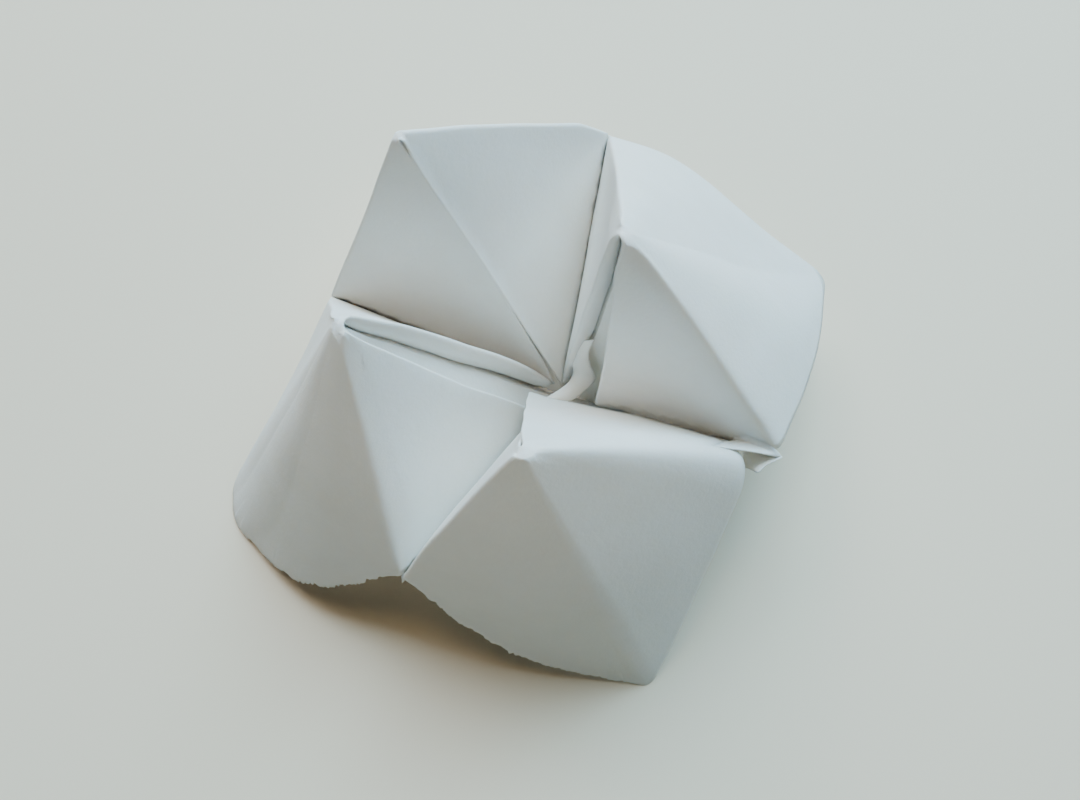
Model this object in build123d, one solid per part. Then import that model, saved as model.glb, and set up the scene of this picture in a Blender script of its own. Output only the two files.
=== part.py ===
from build123d import *
import os
import numpy as np

# A paper fortune teller: one square of drawing paper, blintz-folded twice and opened up.
# Millimetres, +Z up, standing on the table on its centre point and its two front feet.

# Paper
paper = 0.15
layer_gap = 0.20
edge_clearance = 0.30

# Size: the side of the square when it is folded flat, which is half the side of the sheet
folded_side = 74.0

# Where the creases meet on the folded piece, in folded sides from the table under its centre
centre = (0.0000, 0.0000, -0.0095)
valley_end = {
    "left": (-0.4189, 0.1622, 0.2162),
    "back": (0.1284, 0.3446, 0.3581),
    "right": (0.3108, -0.2635, 0.3176),
    "front": (-0.3176, -0.3716, 0.1959),
}
tip = {
    "back_left": (-0.2027, 0.1486, 0.6689),
    "back_right": (0.0716, -0.0473, 0.6824),
    "front_right": (-0.0838, -0.2973, 0.6351),
    "front_left": (-0.3014, -0.0946, 0.6216),
}
foot = {
    "back_left": (-0.2162, 0.5946, 0.0946),
    "back_right": (0.5270, 0.1284, 0.1351),
    "front_right": (0.0811, -0.5743, -0.0097),
    "front_left": (-0.7149, -0.1405, -0.0198),
}
raised_flap_point = {"right": (-0.0703, -0.0473, 0.1419)}

# How high each other flap lies over the centre, and how much paper lacks at two places
flap_lift = {"left": 1.6, "back": 1.6, "front": 1.8}
flap_shortfall = {("back_right", "right"): 7.5}
rim_shortfall = {("front_right", "right"): 3.4}

# Folds
tip_bluntness = 1.6
slit_at_tip = 0.45
slit_at_centre = 0.70
covered_slit = {("front_right", "front"): 2.0}
fold_bulge_length = 1.2
fold_bulge_height = 0.9
pressed_folds = {("front_right", "right"), ("front_right", "front")}
fold_stations = (0.0, 0.1, 0.3, 0.6, 0.85, 1.0)
fold_swell = (0.0, 0.45, 0.9, 1.0, 0.6, 0.2)
fold_steps = 6
foot_crease_softness = {"back_left": 0.10, "back_right": 0.16, "front_right": 0.05, "front_left": 0.14}

# Pocket walls: how far each bows outward, in folded sides, and which bow nearer the valley
wall_bow = {
    ("back_left", "left"): 0.0068,
    ("back_left", "back"): -0.0068,
    ("back_right", "back"): 0.0365,
    ("back_right", "right"): 0.0169,
    ("front_right", "right"): 0.0054,
    ("front_right", "front"): 0.0203,
    ("front_left", "front"): 0.0405,
    ("front_left", "left"): 0.0054,
}
bow_lean = {("back_right", "back"): 2.2}
wall_steps = 12

# Torn edge: how far it stands out from the line of valley end and foot, in folded sides
torn_edge = {
    ("front_left", "front"): (0.008, 0.032, 0.049, 0.064, 0.066, 0.070, 0.062, 0.053, 0.039, 0.028, 0.016),
    ("front_right", "front"): (0.007, 0.022, 0.039, 0.045, 0.053, 0.049, 0.053, 0.041, 0.032, 0.020, 0.008),
}

# Going round the piece, each pocket lies between two valleys
pockets = {
    "back_left": ("left", "back"),
    "back_right": ("back", "right"),
    "front_right": ("right", "front"),
    "front_left": ("front", "left"),
}
neighbours = {}
for pocket, valleys in pockets.items():
    for valley in valleys:
        neighbours.setdefault(valley, []).append(pocket)

pitch = paper + layer_gap
inner_radius = pitch / 2
outer_radius = 1.5 * pitch


def unit(v):
    return v / np.linalg.norm(v)


def plane_through(a, b, c, away_from, lift):
    """A plane as (normal, distance); its normal points away from the last point named."""
    normal = unit(np.cross(b - a, c - a))
    if normal @ (a - away_from) < 0:
        normal = -normal
    return normal, normal @ a + lift


def wall_along(a, b, facet, inside, inset_a, inset_b):
    """A plane square to a facet along its edge a to b, moved into the facet by the insets."""
    inward = unit(np.cross(facet[0], b - a))
    if inward @ (inside - a) < 0:
        inward = -inward
    start = a + inset_a * inward
    end = b + inset_b * inward
    normal = unit(np.cross(facet[0], end - start))
    if normal @ inward < 0:
        normal = -normal
    return normal, normal @ start


def meet(*planes):
    return np.linalg.solve([p[0] for p in planes], [p[1] for p in planes])


def slide_to(plane, point, direction):
    return point + direction * (plane[1] - plane[0] @ point) / (plane[0] @ direction)


def between(a, b, t):
    return a + (b - a) * t


# The middle surface of the paper: named points joined by flat panels and narrow fold strips
points = {}
panels = []
facets = []


def put(name, point):
    points[name] = point
    return name


def strip(row, after):
    for i in range(len(row) - 1):
        facets.append([row[i], row[i + 1], after[i + 1]])
        facets.append([row[i], after[i + 1], after[i]])


# The planes of the layers: base underneath, the tucked flap on it, the outer layer on top
O = folded_side * np.array(centre)
T = {pocket: folded_side * np.array(xyz) for pocket, xyz in tip.items()}
C = {pocket: folded_side * np.array(xyz) for pocket, xyz in foot.items()}
M = {valley: folded_side * np.array(xyz) for valley, xyz in valley_end.items()}
base = {}
hollow = {}
for pocket, valleys in pockets.items():
    hollow[pocket] = (O + T[pocket] + M[valleys[0]] + M[valleys[1]] + C[pocket]) / 5
    for valley in valleys:
        base[pocket, valley] = plane_through(T[pocket], M[valley], O, hollow[pocket], -inner_radius)

# Each flap's point stands over the centre, midway between the two sides of its valley
K = {valley: folded_side * np.array(xyz) for valley, xyz in raised_flap_point.items()}
for valley, lift in flap_lift.items():
    p, q = neighbours[valley]
    upward = unit(base[p, valley][0] + base[q, valley][0])
    K[valley] = O + lift * (upward + unit(M[valley] - O))

flap = {}
outer = {}
wall = {}
tip_cap = {}
for pocket, valleys in pockets.items():
    for valley in valleys:
        here = (pocket, valley)
        flap[here] = plane_through(T[pocket], M[valley], K[valley], hollow[pocket], inner_radius)
        outer[here] = plane_through(T[pocket], M[valley], K[valley], hollow[pocket], outer_radius)
        wall[here] = plane_through(T[pocket], M[valley], C[pocket], hollow[pocket], outer_radius)
    up = unit(T[pocket] - hollow[pocket])
    tip_cap[pocket] = (up, up @ T[pocket] - tip_bluntness)
table_level = (np.array([0.0, 0.0, 1.0]), paper / 2)

# The four valleys, with the fold at their ends where the paper turns back over itself
rim_row_at_valley = {}
for valley, (p, q) in neighbours.items():
    put(("valley centre", valley), meet(base[p, valley], base[q, valley], table_level))
    levels = []
    shifts = [0.0]
    outs = []
    for layer, inner in ((base, O), (flap, K[valley])):
        out = unit(M[valley] - inner)
        corners = []
        for pocket in (p, q):
            rim_wall = wall_along(T[pocket], M[valley], layer[pocket, valley], inner, 0.0, 0.0)
            corners.append(meet(layer[p, valley], layer[q, valley], rim_wall))
        corner = max(corners, key=lambda point: out @ point)
        outs.append(out)
        levels.append(corner - M[valley])
        shifts.append(out @ (corner - M[valley]))
    row = []
    for i in range(fold_steps + 1):
        turn = np.pi * i / fold_steps
        out = unit(between(outs[0], outs[1], i / fold_steps))
        level = levels[0] if i < fold_steps / 2 else levels[1]
        flat = abs(np.cos(turn))
        reach = (1 - flat) * max(shifts) + np.sin(turn) * inner_radius
        row.append(put(("rim at valley", valley, i), M[valley] + flat * level + reach * out))
    rim_row_at_valley[valley] = row

# The layers of each pocket's two inner sides
crease_end = {}
flap_outline = {}
cap_outline = {}
outer_rim_end = {}
for pocket, valleys in pockets.items():
    put(("ridge centre", pocket), meet(base[pocket, valleys[0]], base[pocket, valleys[1]], table_level))
    put(("ridge tip", pocket), meet(base[pocket, valleys[0]], base[pocket, valleys[1]], tip_cap[pocket]))
    for valley in valleys:
        here = (pocket, valley)
        cap = tip_cap[pocket]
        along = unit(M[valley] - T[pocket])
        under = -base[here][0]
        over = flap[here][0]
        away = wall[here][0]
        out_low = unit(np.cross(along, under))
        out_low = out_low * np.sign(out_low @ (M[valley] - O))
        out_high = unit(np.cross(along, over))
        out_high = out_high * np.sign(out_high @ (M[valley] - O))
        other = neighbours[valley][0] if neighbours[valley][1] == pocket else neighbours[valley][1]

        # Fold between base and flap, along the rim
        reach = np.arctan2(over @ out_low, over @ under)
        inner_row = []
        for i in range(fold_steps + 1):
            turn = reach * i / fold_steps
            arm = np.cos(turn) * under + np.sin(turn) * out_low
            point = slide_to(cap, T[pocket] + inner_radius * arm, along)
            inner_row.append(put(("inner rim", here, i), point))
        strip(inner_row, rim_row_at_valley[valley])

        # Outer layer, short of the valley by the layers that fill it
        spread = np.pi - np.arccos(flap[here][0] @ flap[other, valley][0])
        setback = (outer_radius * np.cos(spread / 2) + edge_clearance / 2) / np.sin(spread / 2)
        rim_wall = wall_along(T[pocket], M[valley], outer[here], K[valley], 0.0, 0.0)
        rim_setback = setback + rim_shortfall.get(here, 0.0)
        edge_wall = wall_along(M[valley], K[valley], outer[here], T[pocket], rim_setback, setback)
        outer_end = meet(outer[here], rim_wall, edge_wall)
        shortfall = flap_shortfall.get(here, 0.0)
        fold_end = K[valley] + shortfall * unit(M[valley] - K[valley])
        inset_tip = slit_at_tip + pitch / 2
        pressed = here in pressed_folds
        bulge_length = pitch * 2 / 3 if pressed else fold_bulge_length
        bulge_height = 0.0 if pressed else fold_bulge_height
        inset_centre = covered_slit.get(here, slit_at_centre) + 0.75 * bulge_length
        fold_wall = wall_along(T[pocket], fold_end, outer[here], M[valley], inset_tip, inset_centre)
        outer_start = meet(outer[here], fold_wall, cap)
        outer_point = meet(outer[here], fold_wall, edge_wall)
        down_fold = unit(outer_point - outer_start)
        cut_wall = (down_fold, down_fold @ outer_point)
        flap_start = meet(flap[here], fold_wall, cap)
        flap_cut = meet(flap[here], fold_wall, cut_wall)

        # Fold between flap and outer layer, along the slit
        rows = []
        for j, (t, swell) in enumerate(zip(fold_stations, fold_swell)):
            low = between(flap_start, flap_cut, t)
            high = between(outer_start, outer_point, t)
            length = between(pitch * 2 / 3, bulge_length, t)
            low_pull = low - length * fold_wall[0]
            high_pull = high - length * fold_wall[0] + bulge_height * swell * over
            row = []
            for i in range(fold_steps + 1):
                u = i / fold_steps
                v = 1 - u
                point = v**3 * low + 3 * v * v * u * low_pull + 3 * v * u * u * high_pull + u**3 * high
                if j == 0:
                    point = slide_to(cap, point, down_fold)
                row.append(put(("slit fold", here, j, i), point))
            rows.append(row)
        for row, after in zip(rows, rows[1:]):
            strip(row, after)

        # Fold between outer layer and pocket wall, along the rim
        reach = np.arctan2(away @ out_high, away @ over)
        outer_tip_row = []
        outer_end_row = []
        for i in range(fold_steps + 1):
            turn = reach * i / fold_steps
            arm = np.cos(turn) * over + np.sin(turn) * out_high
            point = slide_to(cap, T[pocket] + outer_radius * arm, along)
            outer_tip_row.append(put(("outer rim", here, i), point))
            point = T[pocket] + along * (along @ (outer_end - T[pocket])) + outer_radius * arm
            outer_end_row.append(put(("outer rim end", here, i), point))
        strip(outer_tip_row, outer_end_row)
        outer_rim_end[here] = T[pocket] + along * (along @ (outer_end - T[pocket]))

        # Flat panels of base and outer layer
        ridge = [("ridge centre", pocket), ("valley centre", valley)]
        panels.append(ridge + [rim_row_at_valley[valley][0], inner_row[0], ("ridge tip", pocket)])
        panels.append([outer_end_row[0], outer_tip_row[0]] + [row[-1] for row in rows])
        crease_end[here] = meet(flap[here], flap[other, valley], cut_wall)
        flap_outline[here] = [rim_row_at_valley[valley][-1], inner_row[-1]] + [row[0] for row in rows]
        cap_outline[here] = inner_row + rows[0] + outer_tip_row

# Flat panels of the flaps: both sides end together, but the raised flap reaches further on one
for valley, (p, q) in neighbours.items():
    reach = {side: np.linalg.norm(crease_end[side, valley] - M[valley]) for side in (p, q)}
    short = min((p, q), key=reach.get)
    long = q if short == p else p
    shared = put(("crease end", valley), crease_end[short, valley])
    further = []
    if valley in raised_flap_point:
        further = [put(("flap corner", valley), crease_end[long, valley])]
    panels.append(flap_outline[short, valley] + [shared])
    panels.append(flap_outline[long, valley] + further + [shared])

# Pocket walls: straight creases fanning out from the tip to the free edge
for pocket, (first, second) in pockets.items():
    softness = foot_crease_softness[pocket]
    tips = []
    ends = []
    for step in range(-wall_steps, wall_steps + 1):
        sigma = step / wall_steps
        valley = first if sigma < 0 else second
        here = (pocket, valley)
        corner = {first: outer_rim_end[pocket, first], second: outer_rim_end[pocket, second]}
        if abs(sigma) < softness:
            t = (sigma / softness + 1) / 2
            a = between(C[pocket], corner[first], softness)
            b = between(C[pocket], corner[second], softness)
            edge = (1 - t) ** 2 * a + 2 * t * (1 - t) * C[pocket] + t**2 * b
            normal = unit(between(wall[pocket, first][0], wall[pocket, second][0], t))
        else:
            edge = between(C[pocket], corner[valley], abs(sigma))
            normal = wall[here][0]
        torn = 0.0
        if here in torn_edge and 0 < abs(step) < wall_steps:
            torn = folded_side * torn_edge[here][wall_steps - 1 - abs(step)]
        beyond = unit(np.cross(normal, corner[valley] - C[pocket]))
        beyond = beyond * np.sign(beyond @ (C[pocket] - T[pocket]))
        bow = folded_side * wall_bow[here] * np.sin(np.pi * abs(sigma) ** bow_lean.get(here, 1.0))
        edge = edge + bow * normal + torn * beyond
        if abs(step) == wall_steps:
            tips.append(("outer rim", here, fold_steps))
            ends.append(("outer rim end", here, fold_steps))
        else:
            generator = unit(edge - T[pocket])
            start = slide_to(tip_cap[pocket], T[pocket] + outer_radius * normal, generator)
            tips.append(put(("wall tip", pocket, step), start))
            ends.append(put(("wall end", pocket, step), edge + outer_radius * normal))
    strip(tips, ends)
    back = cap_outline[pocket, second][::-1]
    panels.append([("ridge tip", pocket)] + cap_outline[pocket, first] + tips[1:-1] + back)

# The flattened point under the centre
around = []
for pocket, (first, second) in pockets.items():
    around += [("valley centre", first), ("ridge centre", pocket)]
panels.append(around)

# Turn every facet the same way round
outlines = [list(outline) for outline in panels + facets]
users = {}
for index, outline in enumerate(outlines):
    for a, b in zip(outline, outline[1:] + outline[:1]):
        users.setdefault(frozenset((a, b)), []).append(index)
turned = {0}
queue = [0]
while queue:
    index = queue.pop()
    outline = outlines[index]
    for a, b in zip(outline, outline[1:] + outline[:1]):
        for other in users[frozenset((a, b))]:
            if other not in turned:
                steps = list(zip(outlines[other], outlines[other][1:] + outlines[other][:1]))
                if (a, b) in steps:
                    outlines[other].reverse()
                turned.add(other)
                queue.append(other)


def area_normal(outline):
    corners = np.array([points[name] for name in outline])
    return unit(np.cross(corners, np.roll(corners, -1, axis=0)).sum(axis=0))


# Give the sheet its thickness: each point moves square to the facets that meet there
normals = [area_normal(outline) for outline in outlines]
touching = {name: [] for name in points}
for index, outline in enumerate(outlines):
    for name in outline:
        touching[name].append(index)
half = {}
for name, meeting in touching.items():
    start = unit(sum(normals[i] for i in meeting)) * paper / 2
    weights = np.array([1e5 if i < len(panels) else 1.0 for i in meeting])
    rows = np.array([normals[i] for i in meeting]) * weights[:, None]
    missing = (paper / 2) * weights - rows @ start
    rows = np.vstack([rows, 0.1 * np.eye(3)])
    missing = np.append(missing, np.zeros(3))
    half[name] = start + np.linalg.lstsq(rows, missing, rcond=1e-13)[0]

faces = []


def add_face(corners):
    faces.append(Face(Wire.make_polygon([Vector(*corner) for corner in corners], close=True)))


for outline in outlines:
    add_face([points[name] + half[name] for name in outline])
    add_face([points[name] - half[name] for name in outline[::-1]])
for edge, owners in users.items():
    if len(owners) == 1:
        a, b = edge
        a_over = points[a] + half[a]
        a_under = points[a] - half[a]
        b_over = points[b] + half[b]
        b_under = points[b] - half[b]
        add_face([a_over, b_over, b_under])
        add_face([a_over, b_under, a_under])

sheet = Solid(Shell(faces))
box = sheet.bounding_box()
middle = box.center()
sheet = sheet.moved(Location((-middle.X, -middle.Y, -box.min.Z)))
os.makedirs("parts", exist_ok=True)
export_step(sheet, "parts/folded_sheet.step")
print("valid", sheet.is_valid, "volume", round(sheet.volume, 1), "box", box.size, "shift", middle, box.min.Z)
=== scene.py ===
import math

import bmesh
import bpy
import numpy as np
from mathutils import Matrix, Vector, noise
from mathutils.geometry import delaunay_2d_cdt


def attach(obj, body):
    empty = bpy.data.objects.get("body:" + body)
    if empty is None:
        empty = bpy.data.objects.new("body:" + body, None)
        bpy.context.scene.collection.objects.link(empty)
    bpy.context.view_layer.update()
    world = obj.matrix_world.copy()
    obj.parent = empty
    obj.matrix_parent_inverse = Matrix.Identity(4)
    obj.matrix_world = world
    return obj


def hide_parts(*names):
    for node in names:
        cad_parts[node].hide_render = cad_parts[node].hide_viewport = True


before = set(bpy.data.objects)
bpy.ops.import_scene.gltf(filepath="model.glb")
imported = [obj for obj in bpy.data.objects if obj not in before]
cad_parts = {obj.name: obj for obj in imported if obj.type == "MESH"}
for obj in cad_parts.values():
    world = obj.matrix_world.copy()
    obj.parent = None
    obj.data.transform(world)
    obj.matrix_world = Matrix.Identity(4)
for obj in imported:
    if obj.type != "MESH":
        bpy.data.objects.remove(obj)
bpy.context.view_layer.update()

# The viewpoint: a phone held about 12 cm above the paper, looking steeply down on it. The piece
# was drawn with its folded centre at zero, and the camera keeps that measure, in millimetres.
box_centre = (-6.862, 0.292)
camera_place = (-3.994, -43.21, 115.646)
camera_elevation = 69.690
camera_roll = 6.722
lens = 27.01
sensor = 36.0

elevation = math.radians(camera_elevation)
roll = math.radians(camera_roll)
level = np.array([1.0, 0.0, 0.0])
ahead = np.array([0.0, math.cos(elevation), -math.sin(elevation)])
down = np.cross(ahead, level)
picture_right = math.cos(roll) * level + math.sin(roll) * down
picture_down = -math.sin(roll) * level + math.cos(roll) * down
to_row = np.array([-box_centre[0], -box_centre[1], 0.0])
camera_data = bpy.data.cameras.new("camera")
camera_data.lens = lens
camera_data.sensor_width = sensor
camera_data.clip_start = 0.005
camera = bpy.data.objects.new("camera", camera_data)
bpy.context.collection.objects.link(camera)
turned = Matrix([list(picture_right), list(-picture_down), list(-ahead)]).transposed().to_4x4()
turned.translation = Vector((np.array(camera_place) + to_row) / 1000)
camera.matrix_world = turned
bpy.context.scene.camera = camera

# The sheet: a square of white drawing paper, about 148 mm a side, one edge torn from its pad.
# It is folded to its centre, turned over, folded to its centre again and pushed half open.
folded_side = 74.0
paper = 0.15
layer_gap = 0.09
pitch = paper + layer_gap
inner_radius = pitch / 2
outer_radius = 1.5 * pitch
edge_clearance = 0.05
panel_spacing = 1.1
hidden_spacing = 1.9

pockets = {
    "back_left": ("left", "back"),
    "back_right": ("back", "right"),
    "front_right": ("right", "front"),
    "front_left": ("front", "left"),
}
neighbours = {}
for pocket, valleys in pockets.items():
    for valley in valleys:
        neighbours.setdefault(valley, []).append(pocket)

# Where its creases meet, in folded sides: the centre, the ends of the four valleys, the four
# upper points, the four lower corners, and the point of the one inner flap that stands up.
centre = (0.0000, 0.0000, -0.0095)
valley_end = {
    "left": (-0.4189, 0.1622, 0.2162),
    "back": (0.1284, 0.3446, 0.3581),
    "right": (0.3108, -0.2635, 0.3176),
    "front": (-0.3176, -0.3716, 0.1959),
}
tip = {
    "back_left": (-0.2027, 0.1486, 0.6689),
    "back_right": (0.0716, -0.0473, 0.6824),
    "front_right": (-0.0838, -0.2973, 0.6351),
    "front_left": (-0.3014, -0.0946, 0.6216),
}
foot = {
    "back_left": (-0.2162, 0.5946, 0.0946),
    "back_right": (0.5270, 0.1284, 0.1351),
    "front_right": (0.0811, -0.5743, -0.0097),
    "front_left": (-0.7149, -0.1405, -0.0198),
}
raised_flap_point = {"right": (-0.0703, -0.0473, 0.1419)}
flap_lift = {"left": 1.6, "back": 1.6, "front": 1.8}
flap_shortfall = {("back_right", "right"): 7.5}
rim_shortfall = {("front_right", "right"): 3.4}
O = folded_side * np.array(centre)
T = {pocket: folded_side * np.array(xyz) for pocket, xyz in tip.items()}
C = {pocket: folded_side * np.array(xyz) for pocket, xyz in foot.items()}
M = {valley: folded_side * np.array(xyz) for valley, xyz in valley_end.items()}


def unit(v):
    return v / np.linalg.norm(v)


def between(a, b, t):
    return a + (b - a) * t


def plane_through(a, b, c, away_from, lift):
    normal = unit(np.cross(b - a, c - a))
    if normal @ (a - away_from) < 0:
        normal = -normal
    return normal, normal @ a + lift


def wall_along(a, b, facet, inside, inset_a, inset_b):
    inward = unit(np.cross(facet[0], b - a))
    if inward @ (inside - a) < 0:
        inward = -inward
    start = a + inset_a * inward
    end = b + inset_b * inward
    normal = unit(np.cross(facet[0], end - start))
    if normal @ inward < 0:
        normal = -normal
    return normal, normal @ start


def meet(*planes):
    return np.linalg.solve([p[0] for p in planes], [p[1] for p in planes])


def slide_to(plane, point, direction):
    return point + direction * (plane[1] - plane[0] @ point) / (plane[0] @ direction)


# The paper's middle surface is a net of named points. Flat panels are filled with a fine net, and
# the folds between them are strips that share the panels' edge points.
points = {}
home = {}
threads = {}
quads = []
triangles = []
panel_step = 1.0


def put(name, point, where):
    points[name] = point
    home[name] = where
    return name


def thread(a, b, stations=None):
    if (a, b) in threads:
        return threads[a, b]
    if (b, a) in threads:
        return threads[b, a][::-1]
    if stations is None:
        steps = max(1, round(np.linalg.norm(points[b] - points[a]) / panel_step))
        stations = np.linspace(0, 1, steps + 1)
    names = [a]
    for k, t in enumerate(stations[1:-1]):
        names.append(put(("thread", a, b, k), between(points[a], points[b], t), home[a]))
    names.append(b)
    threads[a, b] = names
    return names


def weave(columns):
    for left, right in zip(columns, columns[1:]):
        for k in range(len(left) - 1):
            quads.append((left[k], left[k + 1], right[k + 1], right[k]))


def strip(row, after, stations=(0.0, 1.0)):
    weave([thread(a, b, stations) for a, b in zip(row, after)])


def fill(outline, label, where, spacing):
    ring = []
    for a, b in zip(outline, outline[1:] + outline[:1]):
        ring += thread(a, b)[:-1]
    ring_points = np.array([points[name] for name in ring])
    middle = ring_points.mean(axis=0)
    normal = unit(np.cross(ring_points - middle, np.roll(ring_points, -1, axis=0) - middle).sum(axis=0))
    across = unit(np.cross(normal, [0.3, 0.5, 0.8]))
    up = np.cross(normal, across)
    flat = np.stack([(ring_points - middle) @ across, (ring_points - middle) @ up], axis=1)
    low = flat.min(axis=0)
    high = flat.max(axis=0)
    inner = np.zeros((0, 2))
    if spacing:
        rise = spacing * math.sqrt(3) / 2
        rows = int((high[1] - low[1]) / rise) + 1
        grid = []
        for j in range(rows):
            y = low[1] + (j + 0.5) * rise
            x = np.arange(low[0] + (j % 2) * spacing / 2, high[0], spacing)
            grid.append(np.stack([x, np.full_like(x, y)], axis=1))
        inner = np.concatenate(grid)
        crossings = np.zeros(len(inner), dtype=int)
        nearest = np.full(len(inner), 1e9)
        for p, q in zip(flat, np.roll(flat, -1, axis=0)):
            side = (p[1] > inner[:, 1]) != (q[1] > inner[:, 1])
            if side.any():
                x = p[0] + (inner[:, 1] - p[1]) * (q[0] - p[0]) / (q[1] - p[1] + 1e-30)
                crossings += side & (inner[:, 0] < x)
            run = q - p
            t = np.clip(((inner - p) @ run) / (run @ run + 1e-18), 0, 1)
            nearest = np.minimum(nearest, np.linalg.norm(inner - p - t[:, None] * run, axis=1))
        inner = inner[(crossings % 2 == 1) & (nearest > spacing * 0.45)]
    given = [Vector(p) for p in flat] + [Vector(p) for p in inner]
    made = delaunay_2d_cdt(given, [], [list(range(len(ring)))], 1, 1e-7)
    names = {}
    for new, sources in enumerate(made[3]):
        source = sources[0] if sources else None
        if source is not None and source < len(ring):
            names[new] = ring[source]
        else:
            xy = made[0][new]
            names[new] = put((label, new), middle + xy[0] * across + xy[1] * up, where)
    for face in made[2]:
        triangles.append(tuple(names[v] for v in face))


# The layers at each side of a valley: the base, the flap tucked back on it, the outer layer on
# top of that, and the pocket's wall, which hangs from the rim outside.
tip_bluntness = {"back_left": 0.5, "back_right": 0.6, "front_right": 0.45, "front_left": 0.45}
hollow = {}
base = {}
for pocket, valleys in pockets.items():
    hollow[pocket] = (O + T[pocket] + M[valleys[0]] + M[valleys[1]] + C[pocket]) / 5
    for valley in valleys:
        base[pocket, valley] = plane_through(T[pocket], M[valley], O, hollow[pocket], -inner_radius)
K = {valley: folded_side * np.array(xyz) for valley, xyz in raised_flap_point.items()}
for valley, lift in flap_lift.items():
    p, q = neighbours[valley]
    upward = unit(base[p, valley][0] + base[q, valley][0])
    K[valley] = O + lift * (upward + unit(M[valley] - O))
flap = {}
outer = {}
wall = {}
tip_cap = {}
for pocket, valleys in pockets.items():
    for valley in valleys:
        here = (pocket, valley)
        flap[here] = plane_through(T[pocket], M[valley], K[valley], hollow[pocket], inner_radius)
        outer[here] = plane_through(T[pocket], M[valley], K[valley], hollow[pocket], outer_radius)
        wall[here] = plane_through(T[pocket], M[valley], C[pocket], hollow[pocket], outer_radius)
    upright = unit(T[pocket] - hollow[pocket])
    tip_cap[pocket] = (upright, upright @ T[pocket] - tip_bluntness[pocket])
table_level = (np.array([0.0, 0.0, 1.0]), paper / 2)

# The four valleys, and the fold at their outer ends where the paper turns back over itself.
rim_steps = 8
rim_row_at_valley = {}
for valley, (p, q) in neighbours.items():
    put(("valley centre", valley), meet(base[p, valley], base[q, valley], table_level), (p, valley, "in"))
    levels = []
    shifts = [0.0]
    outs = []
    for layer, inner in ((base, O), (flap, K[valley])):
        out = unit(M[valley] - inner)
        corners = []
        for pocket in (p, q):
            rim_wall = wall_along(T[pocket], M[valley], layer[pocket, valley], inner, 0.0, 0.0)
            corners.append(meet(layer[p, valley], layer[q, valley], rim_wall))
        corner = max(corners, key=lambda point: out @ point)
        outs.append(out)
        levels.append(corner - M[valley])
        shifts.append(out @ (corner - M[valley]))
    row = []
    for i in range(rim_steps + 1):
        turn = math.pi * i / rim_steps
        out = unit(between(outs[0], outs[1], i / rim_steps))
        lift = levels[0] if i < rim_steps / 2 else levels[1]
        flat = abs(math.cos(turn))
        reach = (1 - flat) * max(shifts) + math.sin(turn) * inner_radius
        row.append(put(("rim at valley", valley, i), M[valley] + flat * lift + reach * out, (p, valley, "in")))
    rim_row_at_valley[valley] = row

# The pockets' inner sides. Between flap and outer layer the paper turns in a round fold beside
# the ridge. Each fold stands back from the ridge as listed, from tip to centre, and the two leave
# a slit between them. The second pair of numbers is how far the fold bulges along and up.
slit_stations = (0.0, 0.06, 0.2, 0.45, 0.7, 0.88, 1.0)
slit = {
    ("back_left", "left"): ((0.25, 0.15, 0.10, 0.10, 0.10, 0.15, 0.3), (0.4, 0.05)),
    ("back_left", "back"): ((0.05, -0.35, -0.45, -0.45, -0.40, -0.30, 0.0), (0.6, 0.3)),
    ("back_right", "back"): ((0.45, 0.50, 0.35, -0.10, -0.40, -0.2, 0.3), (0.9, 0.5)),
    ("back_right", "right"): ((0.60, 0.60, 0.85, 1.45, 1.9, 2.1, 2.2), (0.9, 0.4)),
    ("front_right", "right"): ((0.15, 0.10, 0.10, 0.1, 0.1, 0.1, 0.1), (0.35, 0.1)),
    ("front_right", "front"): ((0.30, 0.35, 0.5, 0.9, 1.3, 1.6, 2.0), (0.5, 0.2)),
    ("front_left", "front"): ((0.60, 1.20, 2.10, 2.95, 3.5, 3.7, 3.7), (0.6, 0.25)),
    ("front_left", "left"): ((0.35, 0.55, 0.75, 0.75, 0.50, 0.3, 0.2), (1.5, 1.3)),
}
fold_rows = 40
fold_steps = 10
bend_steps = 8
rim_stations = list(np.linspace(0, 1, 31))
rim_stations[1:1] = [0.004, 0.012]
rim_stations.insert(-1, 0.985)
crease_end = {}
flap_outline = {}
cap_rows = {}
outer_rim_end = {}
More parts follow.
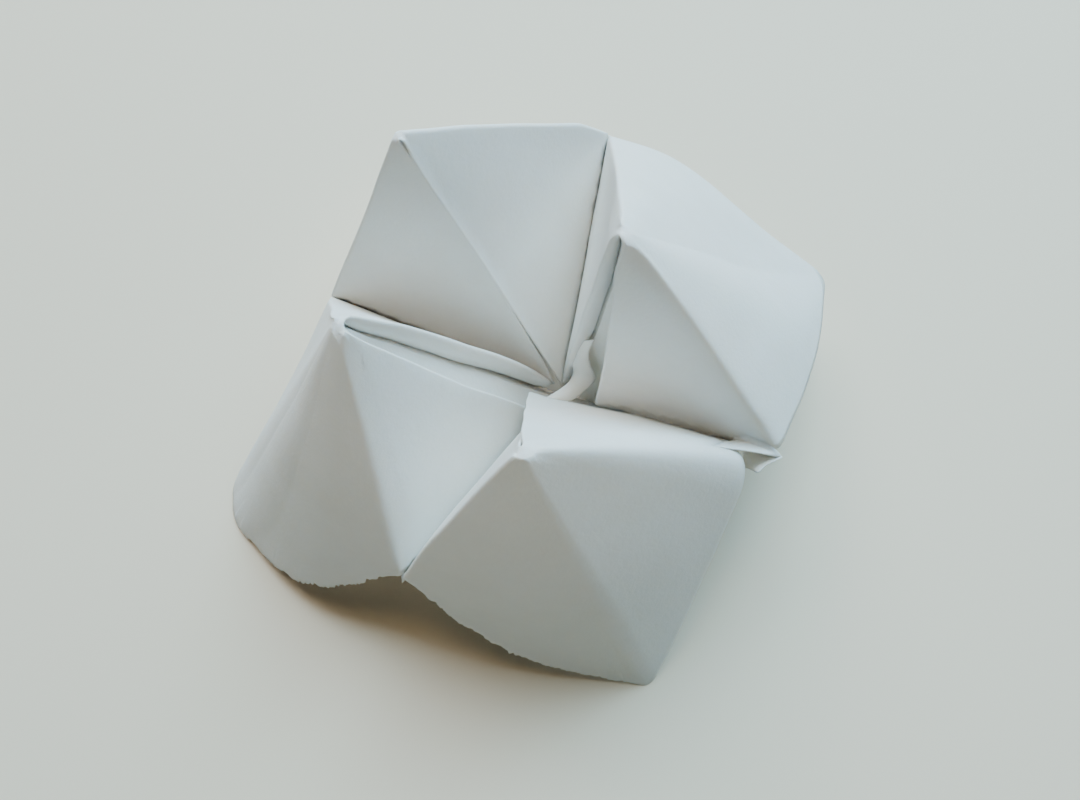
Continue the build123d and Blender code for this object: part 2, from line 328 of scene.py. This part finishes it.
for pocket, valleys in pockets.items():
    inside = (pocket, valleys[0], "in")
    ridge_planes = (base[pocket, valleys[0]], base[pocket, valleys[1]])
    put(("ridge centre", pocket), meet(*ridge_planes, table_level), inside)
    put(("ridge tip", pocket), meet(*ridge_planes, tip_cap[pocket]), inside)
    for valley in valleys:
        here = (pocket, valley)
        where = (pocket, valley, "in")
        cap = tip_cap[pocket]
        along = unit(M[valley] - T[pocket])
        under = -base[here][0]
        over = flap[here][0]
        away = wall[here][0]
        out_low = unit(np.cross(along, under))
        out_low = out_low * np.sign(out_low @ (M[valley] - O))
        out_high = unit(np.cross(along, over))
        out_high = out_high * np.sign(out_high @ (M[valley] - O))
        other = neighbours[valley][0] if neighbours[valley][1] == pocket else neighbours[valley][1]

        panel_step = panel_spacing
        reach = math.atan2(over @ out_low, over @ under)
        inner_row = []
        for i in range(rim_steps + 1):
            turn = reach * i / rim_steps
            arm = math.cos(turn) * under + math.sin(turn) * out_low
            point = slide_to(cap, T[pocket] + inner_radius * arm, along)
            inner_row.append(put(("inner rim", here, i), point, where))
        strip(inner_row, rim_row_at_valley[valley], rim_stations)

        spread = math.pi - math.acos(flap[here][0] @ flap[other, valley][0])
        setback = (outer_radius * math.cos(spread / 2) + edge_clearance / 2) / math.sin(spread / 2)
        rim_setback = setback + rim_shortfall.get(here, 0.0)
        rim_wall = wall_along(T[pocket], M[valley], outer[here], K[valley], 0.0, 0.0)
        edge_wall = wall_along(M[valley], K[valley], outer[here], T[pocket], rim_setback, setback)
        outer_end = meet(outer[here], rim_wall, edge_wall)
        fold_end = K[valley] + flap_shortfall.get(here, 0.0) * unit(M[valley] - K[valley])
        insets, (bulge_length, bulge_height) = slit[here]
        inset_tip = insets[0] + pitch / 2
        inset_centre = insets[-1] + 0.75 * bulge_length
        fold_wall = wall_along(T[pocket], fold_end, outer[here], M[valley], inset_tip, inset_centre)
        outer_start = meet(outer[here], fold_wall, cap)
        outer_point = meet(outer[here], fold_wall, edge_wall)
        down_fold = unit(outer_point - outer_start)
        cut_wall = (down_fold, down_fold @ outer_point)
        flap_start = meet(flap[here], fold_wall, cap)
        flap_cut = meet(flap[here], fold_wall, cut_wall)
        rows = []
        for j in range(fold_rows + 1):
            t = j / fold_rows
            swell = 0.25 + 0.75 * math.sin(math.pi * min(1.0, t / 0.2) / 2)
            swell *= 1.0 - 0.8 * max(0.0, (t - 0.75) / 0.25) ** 1.5
            straight = between(insets[0], insets[-1], t)
            bent = (np.interp(t, slit_stations, insets) - straight) * fold_wall[0]
            low = between(flap_start, flap_cut, t) + bent
            high = between(outer_start, outer_point, t) + bent
            length = between(pitch * 2 / 3, bulge_length, min(1.0, t / 0.15))
            low_pull = low - length * fold_wall[0]
            high_pull = high - length * fold_wall[0] + bulge_height * swell * over
            row = []
            for i in range(fold_steps + 1):
                u = i / fold_steps
                v = 1 - u
                point = v**3 * low + 3 * v * v * u * low_pull + 3 * v * u * u * high_pull + u**3 * high
                if j == 0:
                    point = slide_to(cap, point, down_fold)
                row.append(put(("slit fold", here, j, i), point, where))
            rows.append(row)
        for row, after in zip(rows, rows[1:]):
            strip(row, after)

        reach = math.atan2(away @ out_high, away @ over)
        outer_tip_row = []
        outer_end_row = []
        rim_end = T[pocket] + along * (along @ (outer_end - T[pocket]))
        for i in range(rim_steps + 1):
            turn = reach * i / rim_steps
            arm = math.cos(turn) * over + math.sin(turn) * out_high
            point = slide_to(cap, T[pocket] + outer_radius * arm, along)
            outer_tip_row.append(put(("outer rim", here, i), point, (pocket, valley, "rim")))
            outer_end_row.append(put(("outer rim end", here, i), rim_end + outer_radius * arm, (pocket, valley, "rim")))
        strip(outer_tip_row, outer_end_row, rim_stations)
        outer_rim_end[here] = rim_end

        ridge = [("ridge centre", pocket), ("valley centre", valley)]
        base_outline = ridge + [rim_row_at_valley[valley][0], inner_row[0], ("ridge tip", pocket)]
        fill(base_outline, ("base", here), where, panel_spacing)
        outer_outline = [outer_end_row[0], outer_tip_row[0]] + [row[-1] for row in rows]
        fill(outer_outline, ("outer", here), where, panel_spacing)
        crease_end[here] = meet(flap[here], flap[other, valley], cut_wall)
        flap_outline[here] = [rim_row_at_valley[valley][-1], inner_row[-1]] + [row[0] for row in rows]
        cap_rows[here] = (inner_row, rows[0], outer_tip_row)

# The flaps tucked under the outer layers. Both sides of a flap end together over the centre, but
# the raised one reaches further on its front side.
for valley, (p, q) in neighbours.items():
    reach = {side: np.linalg.norm(crease_end[side, valley] - M[valley]) for side in (p, q)}
    short = min((p, q), key=reach.get)
    long = q if short == p else p
    shared = put(("crease end", valley), crease_end[short, valley], (short, valley, "in"))
    further = []
    if valley in raised_flap_point:
        further = [put(("flap corner", valley), crease_end[long, valley], (long, valley, "in"))]
    panel_step = hidden_spacing
    fill(flap_outline[short, valley] + [shared], ("flap", short, valley), (short, valley, "in"), hidden_spacing)
    fill(flap_outline[long, valley] + further + [shared], ("flap", long, valley), (long, valley, "in"), hidden_spacing)

# The pocket walls fan out from the upper points. Two of them end in the torn edge, which stands
# out past the straight line of the square and is ragged. Near the top the walls are rounder.
foot_crease_softness = {"back_left": 0.10, "back_right": 0.07, "front_right": 0.03, "front_left": 0.20}
wall_roundness = {"back_left": 0.30, "back_right": 0.80, "front_right": 0.08, "front_left": 0.36}
wall_bow = {
    ("back_left", "left"): 0.5,
    ("back_left", "back"): -0.5,
    ("back_right", "back"): 1.7,
    ("back_right", "right"): 1.25,
    ("front_right", "right"): 0.4,
    ("front_right", "front"): 1.5,
    ("front_left", "front"): 3.0,
    ("front_left", "left"): -0.5,
}
bow_lean = {("back_right", "back"): 2.2}
torn_edge = {
    ("front_left", "front"): (0.6, 2.4, 3.6, 4.7, 4.9, 5.2, 4.6, 3.9, 2.9, 2.1, 1.2),
    ("front_right", "front"): (0.5, 1.6, 2.9, 3.3, 3.9, 3.6, 3.9, 3.0, 2.4, 1.5, 0.6),
}
cut_edge_steps = 28
torn_edge_steps = 130
ragged = np.random.default_rng(7)
thin = set()
for pocket, (first, second) in pockets.items():
    corner = {valley: outer_rim_end[pocket, valley] for valley in (first, second)}
    stations = [(0.0, second)]
    for valley, sign in ((first, -1), (second, 1)):
        count = torn_edge_steps if (pocket, valley) in torn_edge else cut_edge_steps
        stations += [(sign * k / count, valley) for k in range(1, count + 1)]
    stations.sort(key=lambda station: station[0])
    roughness = {sigma: 0.0 for sigma, valley in stations}
    wander = 0.0
    for sigma, valley in stations:
        if (pocket, valley) in torn_edge:
            wander = 0.75 * wander + ragged.normal(0, 0.16)
            near_end = min(1.0, 10 * (1 - abs(sigma)), 10 * abs(sigma))
            nib = 0.45 if ragged.random() < 0.04 else 0.0
            roughness[sigma] = near_end * (wander + ragged.normal(0, 0.10) + nib)
    columns = []
    tips = []
    for sigma, valley in stations:
        here = (pocket, valley)
        if abs(sigma) == 1:
            tips.append(("outer rim", here, rim_steps))
            columns.append(thread(("outer rim", here, rim_steps), ("outer rim end", here, rim_steps)))
            continue
        column = []
        for k, s in enumerate(rim_stations):
            softness = foot_crease_softness[pocket]
            softness += (wall_roundness[pocket] - softness) * (1 - s**6) * min(1.0, 0.6 + 2 * s)
            if abs(sigma) < softness:
                t = (sigma / softness + 1) / 2
                a = between(C[pocket], corner[first], softness)
                b = between(C[pocket], corner[second], softness)
                edge = (1 - t) ** 2 * a + 2 * t * (1 - t) * C[pocket] + t**2 * b
                normal = unit(between(wall[pocket, first][0], wall[pocket, second][0], t))
            else:
                edge = between(C[pocket], corner[valley], abs(sigma))
                normal = wall[here][0]
            torn = 0.0
            if here in torn_edge:
                known = (0.0,) + torn_edge[here] + (0.0,)
                torn = s * np.interp(1 - abs(sigma), np.linspace(0, 1, len(known)), known)
                torn += s**20 * roughness[sigma]
            beyond = unit(np.cross(normal, corner[valley] - C[pocket]))
            beyond = beyond * np.sign(beyond @ (C[pocket] - T[pocket]))
            bow = wall_bow[here] * math.sin(math.pi * abs(sigma) ** bow_lean.get(here, 1.0))
            end = edge + bow * normal + outer_radius * normal
            start = slide_to(tip_cap[pocket], T[pocket] + outer_radius * normal, unit(edge - T[pocket]))
            point = between(start, end, s) + torn * beyond
            column.append(put(("wall", pocket, sigma, k), point, (pocket, valley, "out")))
        if here in torn_edge:
            thin.add(column[-1])
        tips.append(column[0])
        columns.append(column)
    weave(columns)

    # At the upper point the slit's two folds run into each other in a tight loop, with the wall
    # drawn over them and the inner layers closed below.
    inner_first, fold_first, rim_first = cap_rows[pocket, first]
    inner_second, fold_second, rim_second = cap_rows[pocket, second]
    upright = tip_cap[pocket][0]
    loops = []
    for i, (a, b) in enumerate(zip(fold_first, fold_second)):
        middle = (points[a] + points[b]) / 2
        half = (points[a] - points[b]) / 2
        rise = np.linalg.norm(half) + 0.12 * i / fold_steps
        loop = [a]
        for k in range(1, bend_steps):
            turn = math.pi * k / bend_steps
            point = middle + math.cos(turn) * half + math.sin(turn) * rise * upright
            loop.append(put(("loop", pocket, i, k), point, (pocket, "tip", "tip")))
        loop.append(b)
        loops.append(loop)
    weave(loops)
    panel_step = 0.4
    low_outline = [("ridge tip", pocket)] + inner_first + loops[0] + inner_second[::-1]
    fill(low_outline, ("closing", pocket), (pocket, first, "in"), None)
    high_outline = rim_first + tips[1:-1] + rim_second[::-1] + loops[-1][::-1]
    fill(high_outline, ("tip", pocket), (pocket, "tip", "tip"), 0.35)

around = []
for pocket, (first, second) in pockets.items():
    around += [("valley centre", first), ("ridge centre", pocket)]
fill(around, ("centre",), ("back_left", "left", "in"), None)

# Two crumpled bits of the same sheet: the corner of the raised flap, which runs as a narrow curl
# over the centre and is caught in the slit behind, and the folded end that pokes out at the right.
crumpled = {
    "curl": (
        ((-4.58, -4.48, 10.4), (-2.85, -4.25, 11.2), (-1.09, -3.52, 11.8), (0.4, -2.61, 12.4),
         (1.07, -1.7, 13.6), (1.05, -0.78, 15.6), (1.49, -0.51, 18.5), (2.14, -0.39, 21.5)),
        ((-4.49, -4.87, 10.2), (-2.28, -5.25, 10.9), (0.09, -5.07, 11.2), (1.98, -4.28, 12.0),
         (3.87, -3.24, 13.6), (3.25, -2.36, 16.6), (3.08, -2.18, 20.2), (3.66, -2.02, 24.0)),
        0.5,
    ),
    "tab": (
        ((19.83, -17.4, 20.6), (20.45, -17.87, 21.3), (20.96, -18.3, 21.9),
         (21.49, -18.7, 22.4), (22.21, -19.15, 23.0), (23.06, -19.61, 23.5)),
        ((19.35, -19.84, 21.2), (19.75, -20.41, 22.2), (20.22, -21.16, 23.2),
         (21.02, -20.47, 23.4), (21.99, -20.1, 23.6), (23.09, -19.77, 23.7)),
        0.15,
    ),
}


def along_curve(stations, t):
    t = t * (len(stations) - 1)
    k = min(int(t), len(stations) - 2)
    t -= k
    a, b, c, d = [np.array(stations[min(max(i, 0), len(stations) - 1)]) for i in (k - 1, k, k + 1, k + 2)]
    return b + 0.5 * t * (c - a + t * (2 * a - 5 * b + 4 * c - d + t * (3 * (b - c) + d - a)))


for piece, (upper, lower, arch) in crumpled.items():
    rows = []
    for i in range(61):
        top_edge = along_curve(upper, i / 60)
        low_edge = along_curve(lower, i / 60)
        ahead_of = along_curve(upper, min(1, (i + 1) / 60)) - along_curve(upper, max(0, (i - 1) / 60))
        rise = unit(np.cross(low_edge - top_edge, ahead_of))
        row = []
        for k in range(11):
            point = between(top_edge, low_edge, k / 10) + arch * math.sin(math.pi * k / 10) * rise
            row.append(put((piece, i, k), point, (piece, piece, "in")))
        rows.append(row)
    weave(rows)

# Hand-folded paper is nowhere quite flat. Each crease is bowed a little at its middle, and each
# side of the pockets swells or hollows between its creases.
rim_bow = {
    ("back_left", "left"): (0.1, 0.0, 0.1),
    ("back_left", "back"): (0.0, 0.1, 0.2),
    ("back_right", "back"): (0.2, 0.3, 0.2),
    ("back_right", "right"): (0.3, 0.2, 0.3),
    ("front_right", "right"): (0.2, 0.3, 0.3),
    ("front_right", "front"): (-0.2, 0.2, 0.3),
    ("front_left", "front"): (0.2, -0.2, 0.4),
    ("front_left", "left"): (-0.3, 0.1, 0.2),
}
shoulder = {("back_left", "back"): (0.0, 1.2, 0.8)}
ridge_bow = {
    "back_left": (0.4, 0.3, 0.3),
    "back_right": (-0.2, -0.2, 0.3),
    "front_right": (-0.2, 0.2, 0.2),
    "front_left": (0.3, 0.5, 0.4),
}
side_swell = {
    ("back_left", "left"): -1.3,
    ("back_left", "back"): 0.5,
    ("back_right", "back"): 0.2,
    ("back_right", "right"): -1.3,
    ("front_right", "right"): 0.5,
    ("front_right", "front"): 0.3,
    ("front_left", "front"): 0.7,
    ("front_left", "left"): 0.3,
}
gape = {
    ("front_left", "left"): (0.9, 2.2),
    ("front_left", "front"): (0.5, 2.2),
    ("back_right", "back"): (0.5, 1.8),
    ("back_right", "right"): (0.4, 1.8),
}
names = list(points)
place = np.array([points[name] for name in names])
move = np.zeros_like(place)


def top_layer_share(name):
    if name[0] == "thread":
        return (top_layer_share(name[1]) + top_layer_share(name[2])) / 2
    if name[0] == "slit fold":
        return (name[3] / fold_steps) ** 0.7
    return float(name[0][0] == "outer")


def shares(of, a, b, c):
    sides = np.stack([a - c, b - c], axis=1)
    two = np.linalg.lstsq(sides, (of - c).T, rcond=None)[0]
    return np.clip(np.stack([two[0], two[1], 1 - two[0] - two[1]]), 0, 1)


for pocket, valleys in pockets.items():
    for valley in valleys:
        here = (pocket, valley)
        chosen = [i for i, name in enumerate(names) if home[name][:2] == here and home[name][2] != "out"]
        t, m, o = shares(place[chosen], T[pocket], M[valley], O)
        shift = np.outer(4 * t * m, rim_bow[here]) + np.outer(4 * t * o, ridge_bow[pocket])
        shift += np.outer(27 * t * m * o * side_swell[here], base[here][0])
        shift += np.outer(m * np.minimum(1, 5 * t), shoulder.get(here, (0, 0, 0)))
        if here in gape:
            lift, sink = gape[here]
            upward = unit(outer[pocket, valleys[0]][0] + outer[pocket, valleys[1]][0])
            run = O - T[pocket]
            s = (place[chosen] - T[pocket]) @ run / (run @ run)
            far = np.linalg.norm(place[chosen] - T[pocket] - s[:, None] * run, axis=1)
            share = np.array([top_layer_share(names[i]) for i in chosen])
            middle = np.sin(math.pi * np.clip(s, 0, 1)) ** 0.5
            shift += np.outer(lift * share * middle * np.clip(1 - far / 11, 0, 1) ** 1.5, outer[here][0])
            shift -= np.outer(sink * (1 - share) * middle * np.clip(1 - far / 7, 0, 1), upward)
        move[chosen] = shift
        chosen = [i for i, name in enumerate(names) if home[name][:2] == here and home[name][2] == "out"]
        t, m, c = shares(place[chosen], T[pocket], M[valley], C[pocket])
        move[chosen] = np.outer(4 * t * m, rim_bow[here])
        move[chosen] += np.outer(m * np.minimum(1, 5 * t), shoulder.get(here, (0, 0, 0)))
place = place + move
for i, p in enumerate(place):
    wave = noise.noise_vector(Vector(p) / 16) * 0.30 + noise.noise_vector(Vector(p) / 6 + Vector((9, 2, 4))) * 0.11
    place[i] = p + np.array(wave) * min(1.0, np.linalg.norm(p - O) / 12)

# The creases are eased by drawing each point near one towards its neighbours. A rim named here
# is drawn from as far as its first number says at the tip and its second at the valley, in mm.
index = {name: i for i, name in enumerate(names)}
faces = [[index[name] for name in quad] for quad in quads]
faces += [[index[name] for name in triangle] for triangle in triangles]
edge_uses = {}
for face in faces:
    for a, b in zip(face, face[1:] + face[:1]):
        edge_uses[min(a, b), max(a, b)] = edge_uses.get((min(a, b), max(a, b)), 0) + 1
edges = np.array(list(edge_uses))
uses = np.array(list(edge_uses.values()))
free_points = np.zeros(len(place), dtype=bool)
free_points[edges[uses == 1].ravel()] = True
inner_edges = edges[(uses > 1) & ~free_points[edges].any(axis=1)]
mixed_edges = edges[(uses > 1) & free_points[edges].any(axis=1)]
free_edges = edges[uses == 1]
links_from = np.concatenate([inner_edges[:, 0], inner_edges[:, 1], free_edges[:, 0], free_edges[:, 1]])
links_to = np.concatenate([inner_edges[:, 1], inner_edges[:, 0], free_edges[:, 1], free_edges[:, 0]])
for a, b in ((0, 1), (1, 0)):
    inner_end = ~free_points[mixed_edges[:, a]]
    links_from = np.concatenate([links_from, mixed_edges[inner_end, a]])
    links_to = np.concatenate([links_to, mixed_edges[inner_end, b]])
link_count = np.maximum(np.bincount(links_from, minlength=len(place)), 1)[:, None]


def ease(weight, rounds):
    global place
    for _ in range(rounds):
        total = np.zeros_like(place)
        np.add.at(total, links_from, place[links_to])
        place = place + 0.6 * weight[:, None] * (total / link_count - place)


def distance_to(a, b):
    run = b - a
    t = np.clip(((place - a) @ run) / (run @ run), 0, 1)
    return np.linalg.norm(place - a - t[:, None] * run, axis=1), t


soft_rims = {
    ("front_left", "front"): (1.1, 3.6, 100),
    ("back_right", "right"): (1.0, 2.2, 60),
    ("front_right", "right"): (0.9, 5.0, 120),
    ("back_left", "back"): (1.0, 1.4, 12),
    ("back_left", "left"): (0.9, 1.0, 8),
    ("front_left", "left"): (1.2, 1.6, 10),
    ("back_right", "back"): (1.6, 2.2, 30),
    ("front_right", "front"): (1.4, 1.8, 25),
}
for here, (width_at_tip, width_at_valley, rounds) in soft_rims.items():
    pocket, valley = here
    far, t = distance_to(T[pocket], M[valley])
    width = width_at_tip + (width_at_valley - width_at_tip) * t
    weight = np.clip(1 - far / width, 0, 1) * np.clip((1 - t) * 6, 0, 1)
    ease(weight, rounds)
for pocket in pockets:
    far = np.linalg.norm(place - T[pocket], axis=1)
    ease(np.clip(1.5 - far / 1.2, 0, 1), 2)
place[:, 2] = np.maximum(place[:, 2], paper / 2)

# The net becomes one mesh, and gets the paper's thickness, which thins out at the torn edge.
net = bpy.data.meshes.new("folded_sheet_paper")
net.from_pydata([Vector((p + to_row) / 1000) for p in place], [], faces)
turner = bmesh.new()
turner.from_mesh(net)
bmesh.ops.recalc_face_normals(turner, faces=turner.faces)
turner.to_mesh(net)
turner.free()
sheet = bpy.data.objects.new("folded_sheet_paper", net)
bpy.context.collection.objects.link(sheet)
full = sheet.vertex_groups.new(name="full_thickness")
full.add([i for i, name in enumerate(names) if name not in thin], 1.0, "REPLACE")
full.add([index[name] for name in thin], 0.3, "REPLACE")
thickness = sheet.modifiers.new("paper thickness", "SOLIDIFY")
thickness.thickness = paper / 1000
thickness.offset = 0.0
thickness.use_even_offset = False
thickness.vertex_group = "full_thickness"
for face in net.polygons:
    face.use_smooth = True
net.set_sharp_from_angle(angle=math.radians(48))
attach(sheet, "root")
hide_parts("folded_sheet")

# White drawing paper: matt, a little warm where light comes back off itself, with a fine tooth.
paper_finish = bpy.data.materials.new("white_drawing_paper")
paper_finish.use_nodes = True
nodes = paper_finish.node_tree.nodes
links = paper_finish.node_tree.links
shader = nodes["Principled BSDF"]
shader.inputs["Roughness"].default_value = 0.85
shader.inputs["Specular IOR Level"].default_value = 0.25
shader.inputs["Subsurface Weight"].default_value = 0.6
shader.inputs["Subsurface Radius"].default_value = (1.0, 0.9, 0.75)
shader.inputs["Subsurface Scale"].default_value = 0.0003
where = nodes.new("ShaderNodeTexCoord")
cloud = nodes.new("ShaderNodeTexNoise")
cloud.inputs["Scale"].default_value = 110
cloud.inputs["Detail"].default_value = 8
cloud.inputs["Roughness"].default_value = 0.72
links.new(where.outputs["Object"], cloud.inputs["Vector"])
shade = nodes.new("ShaderNodeValToRGB")
shade.color_ramp.elements[0].color = (0.91, 0.895, 0.85, 1)
shade.color_ramp.elements[1].color = (0.96, 0.95, 0.91, 1)
shade.color_ramp.elements[0].position = 0.3
shade.color_ramp.elements[1].position = 0.7
links.new(cloud.outputs["Fac"], shade.inputs["Fac"])
links.new(shade.outputs["Color"], shader.inputs["Base Color"])
tooth = nodes.new("ShaderNodeTexNoise")
tooth.inputs["Scale"].default_value = 1700
tooth.inputs["Detail"].default_value = 4
tooth.inputs["Roughness"].default_value = 0.65
links.new(where.outputs["Object"], tooth.inputs["Vector"])
bump = nodes.new("ShaderNodeBump")
bump.inputs["Strength"].default_value = 0.6
bump.inputs["Distance"].default_value = 0.0001
links.new(tooth.outputs["Fac"], bump.inputs["Height"])
links.new(bump.outputs["Normal"], shader.inputs["Normal"])
net.materials.append(paper_finish)

# A pale table top and soft light: a cool window behind on the right, and a weak warm fill.
floor_mesh = bpy.data.meshes.new("floor")
floor_mesh.from_pydata([(-3, -3, 0), (3, -3, 0), (3, 3, 0), (-3, 3, 0)], [], [(0, 1, 2, 3)])
floor = bpy.data.objects.new("floor", floor_mesh)
bpy.context.collection.objects.link(floor)
table_finish = bpy.data.materials.new("table_top")
table_finish.use_nodes = True
table_shader = table_finish.node_tree.nodes["Principled BSDF"]
table_shader.inputs["Base Color"].default_value = (0.90, 0.755, 0.585, 1)
table_shader.inputs["Roughness"].default_value = 0.6
floor_mesh.materials.append(table_finish)


def lamp(name, place, target, size, power, colour):
    data = bpy.data.lights.new(name, "AREA")
    data.shape = "SQUARE"
    data.size = size
    data.energy = power
    data.color = colour
    light = bpy.data.objects.new(name, data)
    bpy.context.collection.objects.link(light)
    light.location = place
    aim = Vector(target) - Vector(place)
    light.rotation_euler = aim.to_track_quat("-Z", "Y").to_euler()


lamp("window_right", (0.50, 0.43, 0.75), (0, 0, 0.02), 0.6, 6.0, (0.40, 0.76, 1.0))
lamp("window_back", (0.25, 0.50, 0.83), (0, 0, 0.02), 0.6, 12.5, (0.50, 0.80, 1.0))
lamp("window_left", (-0.22, 0.61, 0.76), (0, 0, 0.02), 0.5, 5.6, (0.88, 0.95, 1.0))
lamp("ceiling", (0.0, 0.26, 0.97), (0, 0, 0.02), 0.3, 1.6, (1.0, 0.80, 0.45))
beam_data = bpy.data.lights.new("soft beam into the mouth", "SPOT")
beam_data.energy = 24.0
beam_data.color = (1.0, 0.91, 0.78)
beam_data.shadow_soft_size = 0.03
beam_data.spot_size = math.radians(3.0)
beam_data.spot_blend = 1.0
beam = bpy.data.objects.new("soft beam into the mouth", beam_data)
bpy.context.collection.objects.link(beam)
beam.location = (0.03, -0.20, 0.60)
beam.rotation_euler = (Vector((-0.001, 0.008, 0.010)) - beam.location).to_track_quat("-Z", "Y").to_euler()
world = bpy.data.worlds.new("room")
world.use_nodes = True
world.node_tree.nodes["Background"].inputs["Color"].default_value = (1.0, 0.97, 0.93, 1)
world.node_tree.nodes["Background"].inputs["Strength"].default_value = 0.03
bpy.context.scene.world = world
